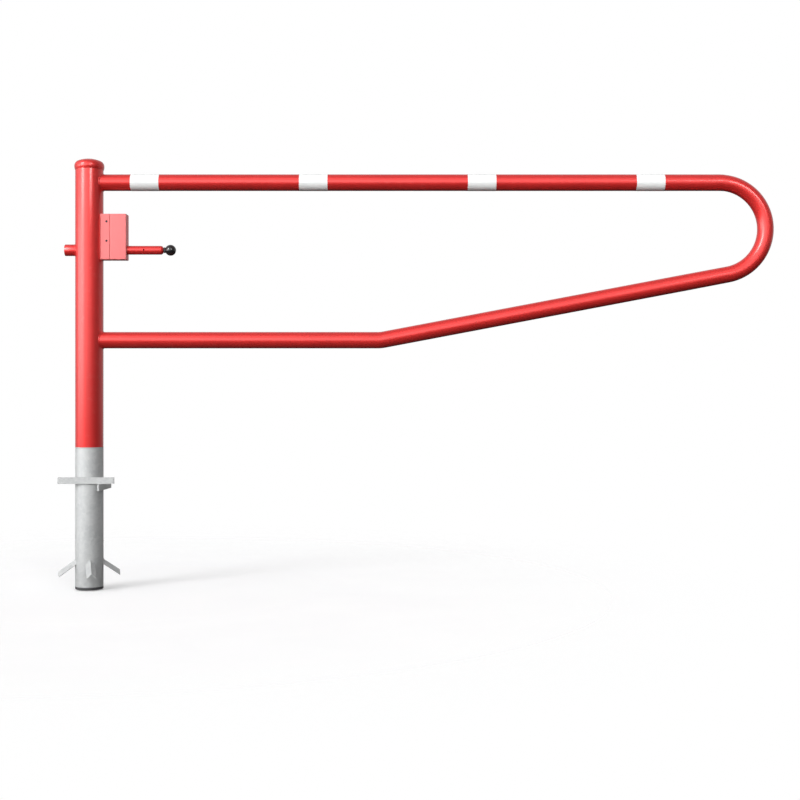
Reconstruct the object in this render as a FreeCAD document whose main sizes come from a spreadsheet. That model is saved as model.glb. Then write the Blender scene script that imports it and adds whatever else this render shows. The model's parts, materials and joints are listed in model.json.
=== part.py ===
import FreeCAD, Part
import math
import os
import Sketcher

# A swinging parking barrier. A bent-tube gate hangs on a ground anchor, turns about a
# vertical spindle, and is held by a hand-pushed bolt under a small quarter-turn lock.
# Millimetres. Z is up, the pivot axis is the Z axis, ground level is z = 0,
# and the closed gate reaches along +X.

SIZES = [
    ("post_outer", 50.8),
    ("post_inner", 47.2),
    ("post_top", 1028),
    ("weld_gap", 0.05),
    ("sleeve_foot", -510),
    ("sleeve_head", -4),
    ("plug_foot", -520),
    ("plug_spigot", 15),
    ("plug_edge", 4),
    ("crossbar_half", 102.5),
    ("crossbar_depth", 8),
    ("crossbar_low", -132),
    ("crossbar_high", -108),
    ("lug_leg", 17.7),
    ("lug_sheet", 3),
    ("lug_root", -375.4),
    ("lug_reach", 110),
    ("lug_slope", 35),
    ("lug_turn", 17),
    ("ring_tall", 20),
    ("spindle_outer", 44.45),
    ("spindle_inner", 39.45),
    ("spindle_foot", -300),
    ("spindle_head", 975),
    ("spindle_hole", 17),
    ("top_plug_tall", 15),
    ("king_shank", 8),
    ("king_flats", 24),
    ("king_head_tall", 10),
    ("king_tip", 962),
    ("bronze_outer", 20),
    ("bronze_head", 994),
    ("washer_outer", 26),
    ("washer_head", 1000),
    ("stop_radius", 32),
    ("stop_thick", 5),
    ("stop_head", 999),
    ("bearing_low", 984),
    ("bearing_high", 993),
    ("slot_half", 5.3),
    ("bush_run", 0.08),
    ("upper_bush_low", 900),
    ("upper_bush_high", 950),
    ("lower_bush_high", 50),
    ("cap_skirt", 52),
    ("cap_outer", 54),
    ("cap_low", 1017),
    ("cap_bead", 1025),
    ("cap_shoulder", 1042.5),
    ("cap_top", 1057),
    ("cap_round", 20),
    ("cap_inside_rim", 1037),
    ("cap_sheet", 3),
    ("rail_outer", 30.15),
    ("rail_inner", 27.25),
    ("rail_high", 970),
    ("rail_low", 392),
    ("rail_start", 20),
    ("loop_x", 2311),
    ("loop_bend", 170),
    ("knee_x", 1058.7),
    ("knee_bend", 120),
    ("band_first", 206),
    ("band_pitch", 617),
    ("band_long", 104),
    ("band_sheet", 0.5),
    ("bolt_z", 722),
    ("bolt_thick", 16),
    ("bolt_tip", 46.5),
    ("bolt_end", 273.5),
    ("bolt_tip_chamfer", 3),
    ("bolt_end_round", 12),
    ("bolt_travel", 128),
    ("padlock_x", 202),
    ("padlock_thick", 3.25),
    ("notch_left", 81.5),
    ("notch_right", 128),
    ("notch_face", 7.5),
    ("notch_floor", 724.5),
    ("stop_screw_x", 118),
    ("stop_screw_y", 8),
    ("stop_screw_thick", 4),
    ("stop_screw_head", 711.5),
    ("stop_play", 0.3),
    ("groove_floor", 712.2),
    ("groove_side", 4.3),
    ("stud_thick", 6),
    ("stud_end", 290),
    ("jam_flats", 18),
    ("ball_x", 298),
    ("ball_round", 20),
    ("ball_flat", 280),
    ("insert_outer", 8),
    ("insert_end", 293),
    ("stub_outer", 21.2),
    ("stub_inner", 18),
    ("stub_end", -88),
    ("stub_root", 30),
    ("stub_sheet", 3),
    ("guide_inner", 16.6),
    ("guide_left", 46),
    ("guide_right", 75),
    ("bracket_root", 40),
    ("box_half", 25),
    ("box_low", 686),
    ("box_high", 853),
    ("box_seam", 78.6),
    ("box_seam_gap", 1.2),
    ("box_right", 139.5),
    ("box_sheet", 3),
    ("box_edge", 1.5),
    ("bracket_sheet", 2.9),
    ("tab_left", 58),
    ("tab_right", 110),
    ("tab_low", 745),
    ("tab_high", 839),
    ("screw_x", 68),
    ("screw_z", 754),
    ("screw_pitch", 71),
    ("screw_shank", 2),
    ("screw_long", 9),
    ("screw_head", 3.8),
    ("screw_head_tall", 2.2),
    ("screw_key", 2.5),
    ("screw_key_deep", 1.2),
    ("screw_hole", 2.25),
    ("nylon_outer", 19),
    ("nylon_inner", 16.08),
    ("nylon_left", 129),
    ("nylon_flange", 22),
    ("nylon_flange_thick", 2.5),
    ("boss_half", 7),
    ("boss_high", 698),
    ("lock_x", 92),
    ("lock_z", 768),
    ("barrel_thick", 11),
    ("barrel_flange", 14),
    ("barrel_flange_deep", 4),
    ("barrel_inner_end", 13.2),
    ("barrel_bore", 5.08),
    ("key_well", 8.5),
    ("key_well_floor", 19),
    ("lock_nut_flats", 27),
    ("lock_nut_end", 13.4),
    ("core_thick", 5),
    ("core_collar", 8),
    ("core_collar_deep", 2),
    ("core_square", 8),
    ("core_key_side", 8),
    ("core_key_end", 27),
    ("cam_near", 8),
    ("cam_far", 13),
    ("cam_half", 10),
    ("cam_reach", 42),
    ("cam_screw_thick", 3),
    ("cam_screw_head", 5.5),
    ("cam_screw_tall", 3),
]

document = FreeCAD.newDocument("parking_barrier")
sheet = document.addObject("Spreadsheet::Sheet", "Sizes")
finished = []


class Dim:
    """A size from the sheet: its value and the expression that gives it."""

    def __init__(self, value, words):
        self.value = value
        self.words = words

    def __add__(self, other):
        return Dim(self.value + number(other), "(%s + %s)" % (self.words, words(other)))

    def __sub__(self, other):
        return Dim(self.value - number(other), "(%s - %s)" % (self.words, words(other)))

    def __mul__(self, other):
        return Dim(self.value * number(other), "(%s * %s)" % (self.words, words(other)))

    def __truediv__(self, other):
        return Dim(self.value / number(other), "(%s / %s)" % (self.words, words(other)))

    def __neg__(self):
        return self * -1


def number(amount):
    return amount.value if isinstance(amount, Dim) else float(amount)


def words(amount):
    return amount.words if isinstance(amount, Dim) else "%.9g" % amount


def fill_sheet():
    dims = {}
    for row, (alias, value) in enumerate(SIZES, start=1):
        sheet.set("A%d" % row, alias)
        sheet.set("B%d" % row, str(value))
        sheet.setAlias("B%d" % row, alias)
        dims[alias] = Dim(float(value), "Sizes.%s" % alias)
    document.recompute()
    return dims


D = fill_sheet()


def origin_feature(body, role):
    for feature in body.Origin.OriginFeatures:
        if feature.Role == role:
            return feature
    raise ValueError("no origin feature " + role)


def new_body(name):
    body = document.addObject("PartDesign::Body", name)
    body.Label = name
    finished.append(body)
    return body


def new_sketch(body, plane, start=0):
    """A sketch on XY, XZ or YZ, moved along the plane's normal (+Z, -Y or +X) by start."""
    sketch = body.newObject("Sketcher::SketchObject", body.Name + "_sketch")
    sketch.AttachmentSupport = [(origin_feature(body, plane + "_Plane"), "")]
    sketch.MapMode = "FlatFace"
    sketch.setExpression("AttachmentOffset.Base.z", words(start))
    return sketch


def place_point(sketch, edge, end, x, y):
    """Fix a sketch point's two coordinates."""
    for kind, amount in (("DistanceX", x), ("DistanceY", y)):
        rule = Sketcher.Constraint(kind, -1, 1, edge, end, number(amount))
        index = sketch.addConstraint(rule)
        sketch.setExpression("Constraints[%d]" % index, words(amount))


def add_circle(sketch, x, y, radius):
    circle = Part.Circle(FreeCAD.Vector(number(x), number(y), 0), FreeCAD.Vector(0, 0, 1), number(radius))
    edge = sketch.addGeometry(circle, False)
    place_point(sketch, edge, 3, x, y)
    index = sketch.addConstraint(Sketcher.Constraint("Radius", edge, number(radius)))
    sketch.setExpression("Constraints[%d]" % index, words(radius))


def arc_between(start, end, radius):
    """The short arc from start to end; a positive radius runs counter-clockwise."""
    half = (end - start) * 0.5
    across = FreeCAD.Vector(-half.y, half.x, 0).normalize()
    rise = math.sqrt(radius * radius - half.Length * half.Length)
    centre = start + half + across * math.copysign(rise, radius)
    first, last = (start, end) if radius > 0 else (end, start)
    angle_first = math.atan2(first.y - centre.y, first.x - centre.x)
    angle_last = math.atan2(last.y - centre.y, last.x - centre.x)
    circle = Part.Circle(centre, FreeCAD.Vector(0, 0, 1), abs(radius))
    return Part.ArcOfCircle(circle, angle_first, angle_last)


def add_outline(sketch, corners):
    """A closed outline of (x, y) corners; a third value makes the edge after it an arc."""
    points = [FreeCAD.Vector(number(c[0]), number(c[1]), 0) for c in corners]
    starts = []
    for i, corner in enumerate(corners):
        following = points[(i + 1) % len(points)]
        if len(corner) == 3:
            edge = sketch.addGeometry(arc_between(points[i], following, number(corner[2])), False)
            starts.append((edge, 1 if number(corner[2]) > 0 else 2))
        else:
            edge = sketch.addGeometry(Part.LineSegment(points[i], following), False)
            starts.append((edge, 1))
    for i, corner in enumerate(corners):
        edge, start = starts[i]
        before, before_start = starts[i - 1]
        sketch.addConstraint(Sketcher.Constraint("Coincident", before, 3 - before_start, edge, start))
        place_point(sketch, edge, start, corner[0], corner[1])
    for i, corner in enumerate(corners):
        if len(corner) == 3:
            radius = corner[2] if number(corner[2]) > 0 else corner[2] * -1
            index = sketch.addConstraint(Sketcher.Constraint("Radius", starts[i][0], number(radius)))
            sketch.setExpression("Constraints[%d]" % index, words(radius))


def add_rectangle(sketch, left, right, low, high):
    add_outline(sketch, [(left, low), (right, low), (right, high), (left, high)])


def add_hexagon(sketch, x, y, flats):
    corners = []
    for k in range(6):
        turn = math.radians(60 * k + 30)
        out = flats * (1 / math.sqrt(3))
        corners.append((out * math.cos(turn) + x, out * math.sin(turn) + y))
    add_outline(sketch, corners)


def pad(body, sketch, length):
    feature = body.newObject("PartDesign::Pad", body.Name + "_pad")
    feature.Profile = sketch
    feature.setExpression("Length", words(length))
    sketch.Visibility = False
    document.recompute()
    return feature


def pocket(body, sketch, length):
    """Cut both ways from the sketch by length, and make sure that something was cut."""
    before = body.Shape.Volume
    feature = body.newObject("PartDesign::Pocket", body.Name + "_pocket")
    feature.Profile = sketch
    feature.SideType = "Symmetric"
    feature.setExpression("Length", words(length * 2))
    sketch.Visibility = False
    document.recompute()
    if body.Shape.Volume > before - 1e-3:
        raise ValueError("a pocket cut nothing in " + body.Name)
    return feature


def pad_round(body, plane, start, length, radius, inner=None, x=0, y=0):
    sketch = new_sketch(body, plane, start)
    add_circle(sketch, x, y, radius)
    if inner is not None:
        add_circle(sketch, x, y, inner)
    return pad(body, sketch, length)


def cut_round(body, plane, start, length, radius, x=0, y=0):
    sketch = new_sketch(body, plane, start)
    add_circle(sketch, x, y, radius)
    return pocket(body, sketch, length)


def pad_rectangle(body, plane, start, length, left, right, low, high):
    sketch = new_sketch(body, plane, start)
    add_rectangle(sketch, left, right, low, high)
    return pad(body, sketch, length)


def cut_rectangle(body, plane, start, length, left, right, low, high):
    sketch = new_sketch(body, plane, start)
    add_rectangle(sketch, left, right, low, high)
    return pocket(body, sketch, length)


def turn_profile(body, corners):
    """Revolve an outline of (radius, z) corners about the Z axis."""
    sketch = new_sketch(body, "XZ")
    add_outline(sketch, corners)
    feature = body.newObject("PartDesign::Revolution", body.Name + "_revolution")
    feature.Profile = sketch
    feature.ReferenceAxis = (sketch, ["V_Axis"])
    feature.Angle = 360
    sketch.Visibility = False
    document.recompute()
    return feature


def round_edges(body, kind, amount, wanted):
    """Fillet or chamfer the edges for which wanted(edge) is true."""
    tip = body.Tip
    names = ["Edge%d" % (i + 1) for i, edge in enumerate(tip.Shape.Edges) if wanted(edge)]
    if not names:
        raise ValueError("no edge to round on " + body.Name)
    feature = body.newObject("PartDesign::" + kind, body.Name + "_edge")
    feature.Base = (tip, names)
    feature.setExpression("Radius" if kind == "Fillet" else "Size", words(amount))
    document.recompute()
    return feature


def circle_at(radius, axis, position):
    """A test for round edges of one radius whose centre is at a position on an axis."""

    def wanted(edge):
        if edge.Degenerated or not isinstance(edge.Curve, Part.Circle):
            return False
        curve = edge.Curve
        if abs(curve.Radius - number(radius)) > 0.01:
            return False
        return abs(getattr(curve.Center, axis) - number(position)) < 0.01

    return wanted


# ---------------------------------------------------------------- ground anchor

def make_ground_sleeve():
    body = new_body("ground_sleeve")
    tall = D["sleeve_head"] - D["sleeve_foot"]
    pad_round(body, "XY", D["sleeve_foot"], tall, D["post_outer"], D["post_inner"])


def make_anchor_crossbars():
    """Two flat bars welded crosswise to the sleeve, one in front and one below it on the right."""
    body = new_body("anchor_crossbars")
    tall = D["crossbar_high"] - D["crossbar_low"]
    half, near = D["crossbar_half"], D["post_outer"]
    far = near + D["crossbar_depth"]
    pad_rectangle(body, "XY", D["crossbar_low"], tall, -half, half, -far, -near)
    below = D["crossbar_low"] - D["weld_gap"] - tall
    pad_rectangle(body, "XY", below, tall, near, far, -half, half)


def make_anchor_lugs():
    """Four short angle irons, ridge up, sloping down and out around the sleeve's foot."""
    body = new_body("anchor_lugs")
    body.setExpression("Placement.Rotation.Angle", words(D["lug_turn"]))
    leg, top = D["lug_leg"], D["lug_root"]
    thin = D["lug_sheet"] * math.sqrt(0.5)
    deep = D["lug_sheet"] * math.sqrt(2)
    sketch = new_sketch(body, "YZ")
    add_outline(sketch, [
        (0, top), (-leg, top - leg), (-leg + thin, top - leg - thin),
        (0, top - deep), (leg - thin, top - leg - thin), (leg, top - leg),
    ])
    slope = math.radians(number(D["lug_slope"]))
    arm = pad(body, sketch, D["lug_reach"] * (1 / math.cos(slope)))
    arm.UseCustomVector = True
    arm.Direction = FreeCAD.Vector(math.cos(slope), 0, -math.sin(slope))
    arm.AlongSketchNormal = False
    document.recompute()
    sleeve = new_sketch(body, "XY", D["sleeve_foot"])
    add_circle(sleeve, 0, 0, D["post_outer"])
    cut = pocket(body, sleeve, 400)
    pattern = body.newObject("PartDesign::PolarPattern", "lug_pattern")
    pattern.Originals = [arm, cut]
    pattern.Axis = (origin_feature(body, "Z_Axis"), [""])
    pattern.Angle = 360
    pattern.Occurrences = 4
    body.Tip = pattern
    document.recompute()


def make_bottom_plug():
    body = new_body("bottom_plug")
    neck = D["post_inner"] - D["weld_gap"]
    turn_profile(body, [
        (0, D["plug_foot"]), (D["post_outer"], D["plug_foot"]), (D["post_outer"], D["sleeve_foot"]),
        (neck, D["sleeve_foot"]), (neck, D["sleeve_foot"] + D["plug_spigot"]),
        (0, D["sleeve_foot"] + D["plug_spigot"]),
    ])
    round_edges(body, "Fillet", D["plug_edge"], circle_at(D["post_outer"], "z", D["plug_foot"]))


def make_spindle_rings():
    body = new_body("spindle_rings")
    ring = pad_round(body, "XY", D["spindle_foot"], D["ring_tall"],
                     D["post_inner"] - D["weld_gap"], D["spindle_outer"] + D["weld_gap"])
    pattern = body.newObject("PartDesign::LinearPattern", "ring_pattern")
    pattern.Originals = [ring]
    pattern.Direction = (origin_feature(body, "Z_Axis"), [""])
    rise = D["sleeve_head"] - D["spindle_foot"] - D["ring_tall"]
    pattern.setExpression("Length", words(rise))
    pattern.Occurrences = 2
    body.Tip = pattern
    document.recompute()


def make_pivot_spindle():
    body = new_body("pivot_spindle")
    tall = D["spindle_head"] - D["spindle_foot"]
    pad_round(body, "XY", D["spindle_foot"], tall, D["spindle_outer"], D["spindle_inner"])
    for plane in ("YZ", "XZ"):
        cut_round(body, plane, 0, D["post_outer"], D["spindle_hole"], 0, D["bolt_z"])


def make_spindle_plug():
    body = new_body("spindle_plug")
    low = D["spindle_head"] - D["top_plug_tall"]
    outer = D["spindle_inner"] - D["weld_gap"]
    pad_round(body, "XY", low, D["top_plug_tall"], outer, D["king_shank"] + D["weld_gap"])
    cut_round(body, "XY", low, D["top_plug_tall"] * 2, D["stop_thick"] + D["weld_gap"], -D["stop_radius"])


def make_pivot_bush():
    body = new_body("pivot_bush")
    tall = D["bronze_head"] - D["spindle_head"]
    pad_round(body, "XY", D["spindle_head"], tall, D["bronze_outer"], D["king_shank"] + D["weld_gap"])


def make_retaining_washer():
    body = new_body("retaining_washer")
    tall = D["washer_head"] - D["bronze_head"]
    pad_round(body, "XY", D["bronze_head"], tall, D["washer_outer"], D["king_shank"] + D["weld_gap"])


def make_retaining_bolt():
    body = new_body("retaining_bolt")
    pad_round(body, "XY", D["king_tip"], D["washer_head"] - D["king_tip"], D["king_shank"])
    sketch = new_sketch(body, "XY", D["washer_head"])
    add_hexagon(sketch, 0, 0, D["king_flats"])
    pad(body, sketch, D["king_head_tall"])


def make_stop_pin():
    body = new_body("stop_pin")
    pad_round(body, "XY", D["king_tip"], D["stop_head"] - D["king_tip"], D["stop_thick"],
              None, -D["stop_radius"])


# ---------------------------------------------------------------- gate

def make_post_tube():
    body = new_body("post_tube")
    pad_round(body, "XY", 0, D["post_top"], D["post_outer"], D["post_inner"])
    middle = (D["post_outer"] + D["post_inner"]) * 0.5
    cut_round(body, "YZ", middle, D["post_outer"] * 0.5, D["stub_outer"] + D["weld_gap"], 0, D["bolt_z"])
    cut_round(body, "YZ", -middle, D["post_outer"] * 0.5, D["spindle_hole"], 0, D["bolt_z"])


def dome_radius(rim, rise):
    """The radius of the ball whose cap has this rim radius and rise."""
    return (rim * rim + rise * rise) / (rise * 2)


def make_post_cap():
    body = new_body("post_cap")
    seat = D["post_outer"] + D["weld_gap"]
    rim = D["post_inner"]
    roof = D["cap_top"] - D["cap_sheet"]
    outside = dome_radius(D["cap_outer"], D["cap_top"] - D["cap_shoulder"])
    inside = dome_radius(rim, roof - D["cap_inside_rim"])
    turn_profile(body, [
        (seat, D["cap_low"]), (D["cap_skirt"], D["cap_low"]), (D["cap_outer"], D["cap_bead"]),
        (D["cap_outer"], D["cap_shoulder"], outside), (0, D["cap_top"]),
        (0, roof, -inside), (rim, D["cap_inside_rim"]),
        (rim, D["post_top"]), (seat, D["post_top"]),
    ])
    round_edges(body, "Fillet", D["cap_round"], circle_at(D["cap_outer"], "z", D["cap_shoulder"]))


def make_bearing_plate():
    """The plate that carries the gate's head, with a half-circle slot round the stop pin."""
    body = new_body("bearing_plate")
    pad_round(body, "XY", D["bearing_low"], D["bearing_high"] - D["bearing_low"],
              D["post_inner"] - D["weld_gap"], D["bronze_outer"] + D["bush_run"])
    outer = D["stop_radius"] + D["slot_half"]
    inner = D["stop_radius"] - D["slot_half"]
    sketch = new_sketch(body, "XY", D["bearing_low"])
    add_outline(sketch, [
        (0, outer, outer), (-outer, 0, outer), (0, -outer),
        (0, -inner, -inner), (-inner, 0, -inner), (0, inner),
    ])
    pocket(body, sketch, D["post_inner"])
    for side in (1, -1):
        cut_round(body, "XY", D["bearing_low"], D["post_inner"], D["slot_half"], 0, D["stop_radius"] * side)


def make_upper_bush():
    body = new_body("upper_bush")
    pad_round(body, "XY", D["upper_bush_low"], D["upper_bush_high"] - D["upper_bush_low"],
              D["post_inner"] - D["weld_gap"], D["spindle_outer"] + D["bush_run"])


def make_lower_bush():
    body = new_body("lower_bush")
    inner = D["spindle_outer"] + D["bush_run"]
    outer = D["post_inner"] - D["weld_gap"]
    turn_profile(body, [
        (inner, D["sleeve_head"]), (D["post_outer"], D["sleeve_head"]), (D["post_outer"], 0),
        (outer, 0), (outer, D["lower_bush_high"]), (inner, D["lower_bush_high"]),
    ])


def rail_path(body):
    """Top rail, end loop, inclined return, knee and lower rail, all tangent."""
    bend, knee = number(D["loop_bend"]), number(D["knee_bend"])
    loop = FreeCAD.Vector(number(D["loop_x"]), number(D["rail_high"]) - bend, 0)
    turn = FreeCAD.Vector(number(D["knee_x"]), number(D["rail_low"]) + knee, 0)
    between = loop - turn
    slope = math.atan2(between.y, between.x) - math.asin((bend - knee) / between.Length)
    across = FreeCAD.Vector(math.sin(slope), -math.cos(slope), 0)
    sketch = new_sketch(body, "XZ")
    start_high = FreeCAD.Vector(number(D["rail_start"]), number(D["rail_high"]), 0)
    start_low = FreeCAD.Vector(number(D["rail_start"]), number(D["rail_low"]), 0)
    upright = FreeCAD.Vector(0, 0, 1)
    edges = [
        Part.LineSegment(start_high, FreeCAD.Vector(loop.x, start_high.y, 0)),
        Part.ArcOfCircle(Part.Circle(loop, upright, bend), slope - math.pi / 2, math.pi / 2),
        Part.LineSegment(loop + across * bend, turn + across * knee),
        Part.ArcOfCircle(Part.Circle(turn, upright, knee), -math.pi / 2, slope - math.pi / 2),
        Part.LineSegment(FreeCAD.Vector(turn.x, start_low.y, 0), start_low),
    ]
    top, loop_arc, incline, knee_arc, bottom = sketch.addGeometry(edges, False)
    joints = [
        (top, 2, loop_arc, 2), (loop_arc, 1, incline, 1),
        (incline, 2, knee_arc, 2), (knee_arc, 1, bottom, 1),
    ]
    for first, first_end, second, second_end in joints:
        sketch.addConstraint(Sketcher.Constraint("Tangent", first, first_end, second, second_end))
    sketch.addConstraint(Sketcher.Constraint("Horizontal", top))
    sketch.addConstraint(Sketcher.Constraint("Horizontal", bottom))
    place_point(sketch, top, 1, D["rail_start"], D["rail_high"])
    place_point(sketch, bottom, 2, D["rail_start"], D["rail_low"])
    for edge, end, amount in ((loop_arc, 2, D["loop_x"]), (knee_arc, 1, D["knee_x"])):
        index = sketch.addConstraint(Sketcher.Constraint("DistanceX", -1, 1, edge, end, number(amount)))
        sketch.setExpression("Constraints[%d]" % index, words(amount))
    for edge, amount in ((loop_arc, D["loop_bend"]), (knee_arc, D["knee_bend"])):
        index = sketch.addConstraint(Sketcher.Constraint("Radius", edge, number(amount)))
        sketch.setExpression("Constraints[%d]" % index, words(amount))
    return sketch


def make_gate_rail():
    body = new_body("gate_rail")
    path = rail_path(body)
    ring = new_sketch(body, "YZ", D["rail_start"])
    add_circle(ring, 0, D["rail_high"], D["rail_outer"])
    add_circle(ring, 0, D["rail_high"], D["rail_inner"])
    document.recompute()
    pipe = body.newObject("PartDesign::AdditivePipe", "gate_rail_pipe")
    pipe.Profile = ring
    pipe.Spine = path
    document.recompute()
    cut_round(body, "XY", 0, 2000, D["post_outer"] + D["weld_gap"])


def make_bands():
    """Reflective sleeves of film round the top rail."""
    for k in range(4):
        body = new_body("reflective_band_%d" % (k + 1))
        start = D["band_first"] + D["band_pitch"] * k - D["band_long"] * 0.5
        inner = D["rail_outer"] + D["weld_gap"]
        pad_round(body, "YZ", start, D["band_long"], inner + D["band_sheet"], inner, 0, D["rail_high"])


def make_bolt_end_sleeve():
    body = new_body("bolt_end_sleeve")
    long = -D["stub_end"] - D["stub_root"]
    pad_round(body, "YZ", D["stub_end"], long, D["stub_outer"], D["stub_inner"], 0, D["bolt_z"])
    cut_round(body, "XY", D["bolt_z"], 100, D["post_outer"] + D["weld_gap"])


def make_stub_end_plate():
    body = new_body("stub_end_plate")
    radius = D["stub_inner"] - D["weld_gap"]
    pad_round(body, "YZ", D["stub_end"], D["stub_sheet"], radius, None, 0, D["bolt_z"])


def make_bolt_guide():
    body = new_body("bolt_guide")
    pad_round(body, "YZ", D["guide_left"], D["guide_right"] - D["guide_left"], D["stub_outer"],
              D["guide_inner"], 0, D["bolt_z"])


def make_lock_bracket():
    """The half of the lock box that is welded to the post."""
    body = new_body("lock_bracket")
    half, sheet_thick = D["box_half"], D["bracket_sheet"]
    long = D["box_seam"] - D["bracket_root"]
    pad_rectangle(body, "YZ", D["bracket_root"], long, -half, half, D["box_low"], D["box_high"])
    cut_rectangle(body, "YZ", D["bracket_root"], long, -half + sheet_thick, half - sheet_thick,
                  D["box_low"] + sheet_thick, D["box_high"] - sheet_thick)
    cut_round(body, "XY", D["bolt_z"], 200, D["post_outer"] + D["weld_gap"])
    for k in range(2):
        cut_round(body, "XZ", 0, 60, D["screw_hole"], D["screw_x"], D["screw_z"] + D["screw_pitch"] * k)


def make_lock_housing():
    """The removable half, with two inner tabs that slide into the bracket."""
    body = new_body("lock_housing")
    half, sheet_thick = D["box_half"], D["box_sheet"]
    left = D["box_seam"] + D["box_seam_gap"]
    pad_rectangle(body, "YZ", left, D["box_right"] - left, -half, half, D["box_low"], D["box_high"])
    at_right = number(D["box_right"]) - 0.01
    round_edges(body, "Fillet", D["box_edge"], lambda edge: edge.BoundBox.XMin > at_right)
    inside = half - sheet_thick
    cut_rectangle(body, "YZ", left, D["box_right"] - left - sheet_thick, -inside, inside,
                  D["box_low"] + sheet_thick, D["box_high"] - sheet_thick)
    for low, high in ((-inside, -inside + sheet_thick), (inside - sheet_thick, inside)):
        pad_rectangle(body, "YZ", D["tab_left"], D["tab_right"] - D["tab_left"], low, high,
                      D["tab_low"], D["tab_high"])
    floor = D["box_low"] + sheet_thick
    pad_rectangle(body, "XY", floor, D["boss_high"] - floor,
                  D["stop_screw_x"] - D["boss_half"], D["stop_screw_x"] + D["boss_half"],
                  D["stop_screw_y"] - D["boss_half"], D["stop_screw_y"] + D["boss_half"])
    cut_round(body, "XY", D["box_low"], 20, D["stop_screw_thick"] + D["weld_gap"],
              D["stop_screw_x"], D["stop_screw_y"])
    cut_round(body, "YZ", D["box_right"], 6, D["nylon_outer"] + D["weld_gap"], 0, D["bolt_z"])
    wall_and_tab = sheet_thick * 2 + D["weld_gap"]
    barrel_hole = D["barrel_thick"] + D["weld_gap"]
    cut_round(body, "XZ", -half, wall_and_tab, barrel_hole, D["lock_x"], D["lock_z"])
    for k in range(2):
        cut_round(body, "XZ", 0, 60, D["screw_shank"] + D["weld_gap"], D["screw_x"],
                  D["screw_z"] + D["screw_pitch"] * k)


def make_housing_screws():
    """Four button-head screws, two in the front face and two in the back."""
    body = new_body("housing_screws")
    x, z, half = D["screw_x"], D["screw_z"], D["box_half"]
    shank = pad_round(body, "XZ", half - D["screw_long"], D["screw_long"], D["screw_shank"], None, x, z)
    head = pad_round(body, "XZ", half, D["screw_head_tall"], D["screw_head"], None, x, z)
    key = new_sketch(body, "XZ", half + D["screw_head_tall"])
    add_hexagon(key, x, z, D["screw_key"])
    socket = pocket(body, key, D["screw_key_deep"])
    many = body.newObject("PartDesign::MultiTransform", "screw_pattern")
    row = body.newObject("PartDesign::LinearPattern", "screw_row")
    row.Direction = (origin_feature(body, "Z_Axis"), [""])
    row.setExpression("Length", words(D["screw_pitch"]))
    row.Occurrences = 2
    mirror = body.newObject("PartDesign::Mirrored", "screw_mirror")
    mirror.MirrorPlane = (origin_feature(body, "XZ_Plane"), [""])
    many.Originals = [shank, head, socket]
    many.Transformations = [row, mirror]
    body.Tip = many
    document.recompute()


def make_bolt_bush():
    body = new_body("bolt_bush")
    pad_round(body, "YZ", D["nylon_left"], D["box_right"] - D["nylon_left"], D["nylon_outer"],
              D["nylon_inner"], 0, D["bolt_z"])
    wall = D["box_right"] - D["box_sheet"]
    pad_round(body, "YZ", wall - D["nylon_flange_thick"], D["nylon_flange_thick"], D["nylon_flange"],
              D["nylon_inner"], 0, D["bolt_z"])


def make_bolt_stop_screw():
    """A grub screw that stands in the bolt's groove and limits its travel."""
    body = new_body("bolt_stop_screw")
    pad_round(body, "XY", D["box_low"], D["stop_screw_head"] - D["box_low"], D["stop_screw_thick"],
              None, D["stop_screw_x"], D["stop_screw_y"])
    key = new_sketch(body, "XY", D["box_low"])
    add_hexagon(key, D["stop_screw_x"], D["stop_screw_y"], D["stop_screw_thick"])
    pocket(body, key, D["stop_screw_thick"])


def make_lock_barrel():
    body = new_body("lock_barrel")
    half = D["box_half"]
    x, z = D["lock_x"], D["lock_z"]
    pad_round(body, "XZ", -half, half - D["barrel_inner_end"], D["barrel_thick"], None, x, z)
    flange_deep = D["barrel_flange_deep"]
    pad_round(body, "XZ", -half - flange_deep, flange_deep, D["barrel_flange"], None, x, z)
    cut_round(body, "XZ", -half, 30, D["barrel_bore"], x, z)
    mouth = half + D["barrel_flange_deep"]
    cut_round(body, "XZ", -mouth, mouth - D["key_well_floor"], D["key_well"], x, z)


def make_lock_nut():
    body = new_body("lock_nut")
    inner_face = D["box_half"] - D["box_sheet"] * 2
    sketch = new_sketch(body, "XZ", -inner_face)
    add_hexagon(sketch, D["lock_x"], D["lock_z"], D["lock_nut_flats"])
    add_circle(sketch, D["lock_x"], D["lock_z"], D["barrel_thick"] + D["weld_gap"])
    pad(body, sketch, inner_face - D["lock_nut_end"])


# ---------------------------------------------------------------- bolt

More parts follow.
